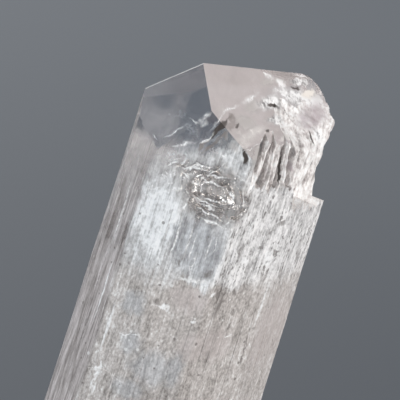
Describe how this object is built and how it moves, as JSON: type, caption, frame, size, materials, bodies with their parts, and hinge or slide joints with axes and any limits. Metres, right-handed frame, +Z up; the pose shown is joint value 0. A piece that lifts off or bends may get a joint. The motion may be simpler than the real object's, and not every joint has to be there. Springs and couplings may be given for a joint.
{
  "type": "danburite crystal",
  "caption": "Single prismatic danburite crystal with a chisel-shaped tip and striated, stepped sides, standing on its flat broken base.",
  "frame": {"origin": "middle of the flat broken base, on the crystal's long axis", "axes": "+Z up the crystal's long c axis to the tip, -Y the side that the picture shows, +X to the right"},
  "size_m": [0.0165, 0.0141, 0.046],
  "materials": {
    "danburite": "glassy on the growth faces, silky and striated along the prism, frosted where it is broken, with a milky faint pink body"
  },
  "bodies": {
    "root": {"crystal": "danburite"}
  },
  "joints": []
}
